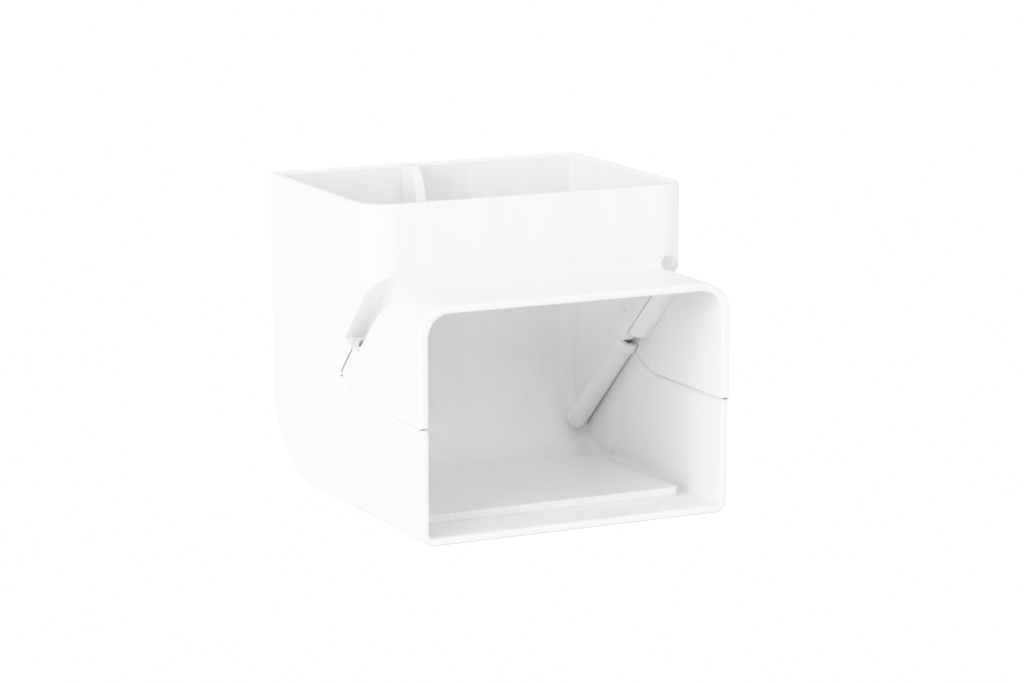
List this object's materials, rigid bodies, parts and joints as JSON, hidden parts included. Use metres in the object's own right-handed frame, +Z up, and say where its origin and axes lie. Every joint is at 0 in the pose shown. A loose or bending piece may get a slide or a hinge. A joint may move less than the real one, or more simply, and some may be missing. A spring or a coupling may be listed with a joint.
{
  "type": "duct bend",
  "caption": "Right-angle bend for flat wall trunking: a socket leg and a plug leg moulded as a body with a clamped front cover, with screw channels at the corner.",
  "frame": {"origin": "centre of the bounding box, on the floor under the part", "axes": "+Z up out of the socket leg, -Y out of the plug leg, +X across the bend"},
  "size_m": [0.0954, 0.098, 0.085],
  "materials": {
    "body_plastic": "moulded white, satin gloss",
    "cover_plastic": "moulded white, satin gloss"
  },
  "bodies": {
    "root": {"bend_body": "body_plastic", "front_cover": "cover_plastic"}
  },
  "joints": []
}
